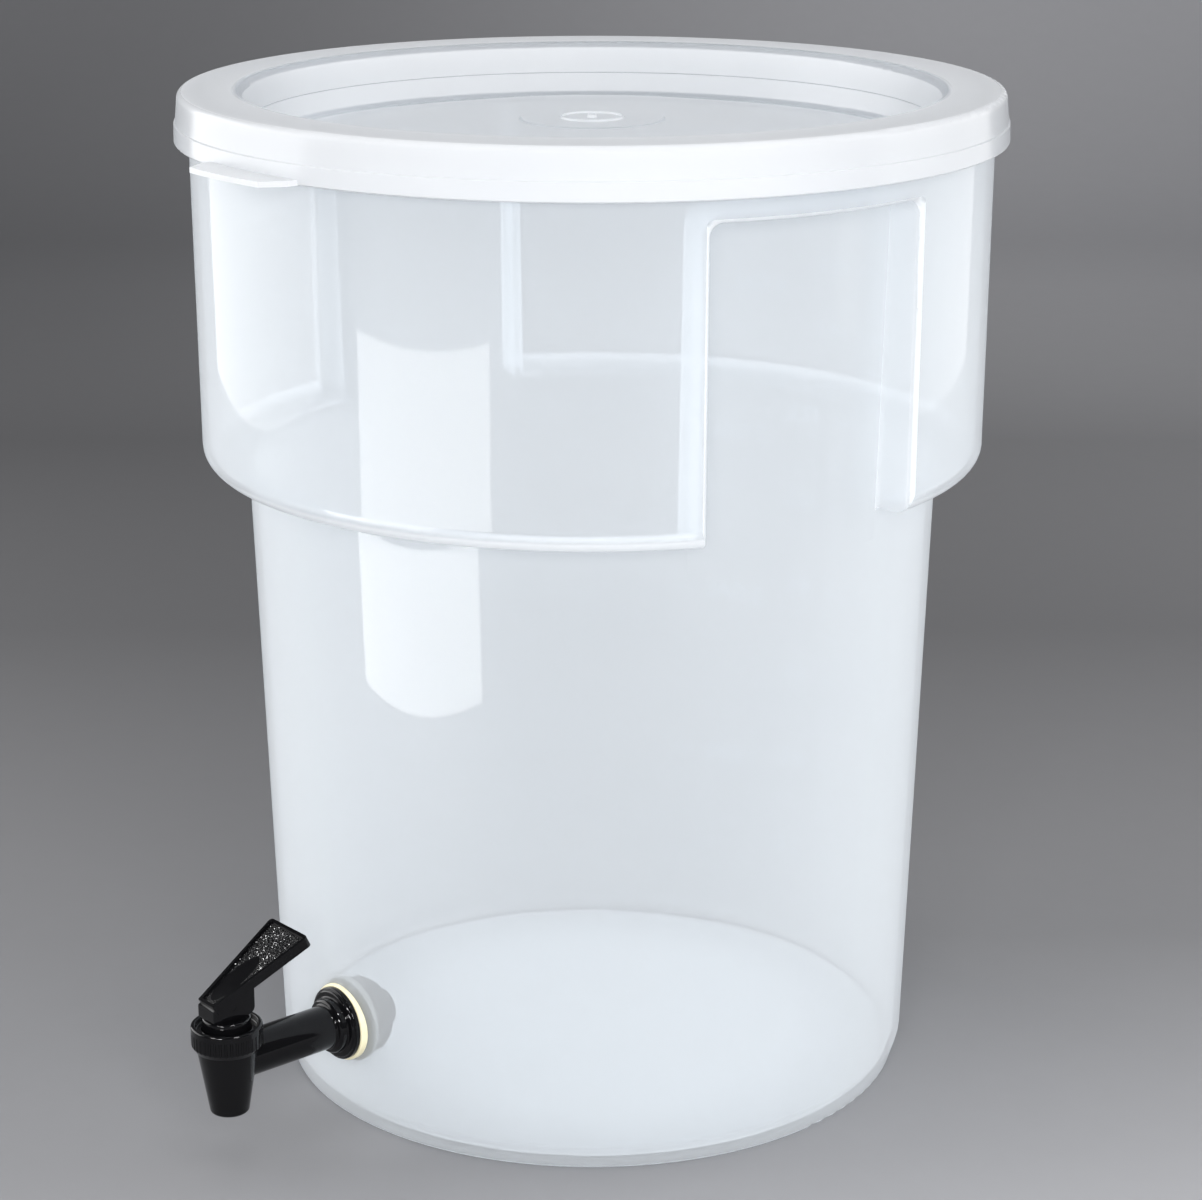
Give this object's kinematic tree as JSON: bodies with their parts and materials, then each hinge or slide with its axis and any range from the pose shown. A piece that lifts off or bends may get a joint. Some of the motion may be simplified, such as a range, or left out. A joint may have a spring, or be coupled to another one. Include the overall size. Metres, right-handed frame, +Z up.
{
  "type": "plastic fermenting bucket",
  "caption": "Round stepped plastic bucket with recessed grips, a press-fit lid with a thumb tab, and a lever tap near the base for draining.",
  "frame": {"origin": "centre of the tub's base, on its axis, in the plane it stands on", "axes": "+Z up along the tub's axis; the tap points along -Y with the lid's thumb tab above it; +X to the right seen from the tap"},
  "size_m": [0.3156, 0.3518, 0.391],
  "materials": {
    "tub_plastic": "translucent, smooth moulded polyethylene",
    "lid_plastic": "white, satin moulded polyethylene",
    "tap_plastic": "black, glossy moulded plastic",
    "gasket_rubber": "cream, soft silicone",
    "seal_rubber": "black rubber",
    "seat_rubber": "milky silicone",
    "stem_plastic": "natural acetal",
    "spring_steel": "stainless spring wire",
    "pin_steel": "black oxidised pin"
  },
  "bodies": {
    "tub": {"tub": "tub_plastic", "tap_body": "tap_plastic", "outer_gasket": "gasket_rubber", "inner_washer": "seal_rubber", "shank_nut": "tap_plastic", "bonnet": "tap_plastic", "bonnet_seal": "seal_rubber", "stem_seal": "seal_rubber"},
    "lid": {"lid": "lid_plastic"},
    "spring": {"valve_spring": "spring_steel"},
    "stem": {"valve_stem": "stem_plastic", "seat_cup": "seat_rubber"},
    "lever": {"lever": "tap_plastic", "lever_pin": "pin_steel"}
  },
  "joints": [
    {"name": "lid_lift", "type": "slide", "parent": "tub", "child": "lid", "axis": [0, 0, 1], "range_m": [0, 0.1]},
    {"name": "lever_swivel", "type": "hinge", "parent": "tub", "child": "spring", "pos_m": [0, -0.1805, 0.05], "axis": [0, 0, 1], "continuous": true},
    {"name": "stem_lift", "type": "slide", "parent": "spring", "child": "stem", "axis": [0, 0, 1], "range_m": [0, 0.00325], "stiffness_N_per_m": 200, "springref_m": -0.002, "deforming": ["valve_spring"]},
    {"name": "lever_tilt", "type": "hinge", "parent": "stem", "child": "lever", "pos_m": [0, -0.1805, 0.0654], "axis": [-1, 0, 0], "range_deg": [0, 30]}
  ],
  "couplings": [
    {"joint": "lever_tilt", "follows": "stem_lift", "rad_per_m": 161.3}
  ]
}
